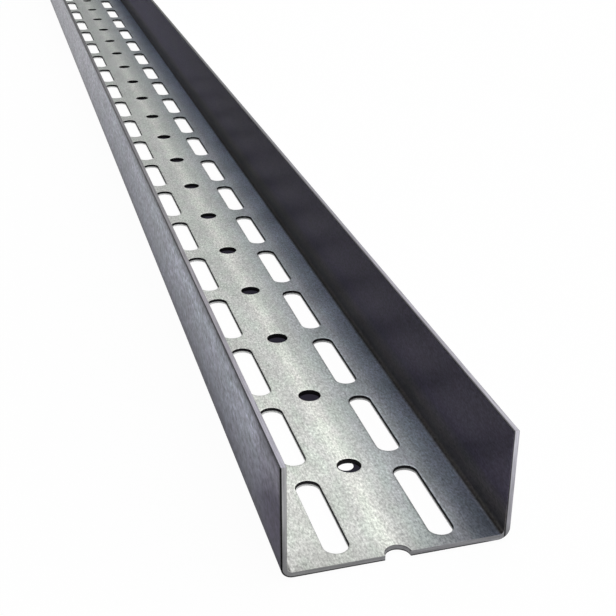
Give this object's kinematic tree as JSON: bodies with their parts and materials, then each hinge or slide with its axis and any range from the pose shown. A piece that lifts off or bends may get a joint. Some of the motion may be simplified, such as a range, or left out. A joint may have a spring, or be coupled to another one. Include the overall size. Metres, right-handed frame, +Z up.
{
  "type": "drywall reinforcing profile",
  "caption": "Slotted U channel of folded galvanised steel sheet, with rows of slots beside a centre row of round holes in its web.",
  "frame": {"origin": "underside of the web, at the middle of its length and width", "axes": "+X along the profile, +Y across the web, +Z up from the web towards the flange edges"},
  "size_m": [2.6, 0.075, 0.04],
  "materials": {
    "galvanised_steel": "hot-dip galvanised, small spangle, satin"
  },
  "bodies": {
    "root": {"slotted_channel": "galvanised_steel"}
  },
  "joints": []
}
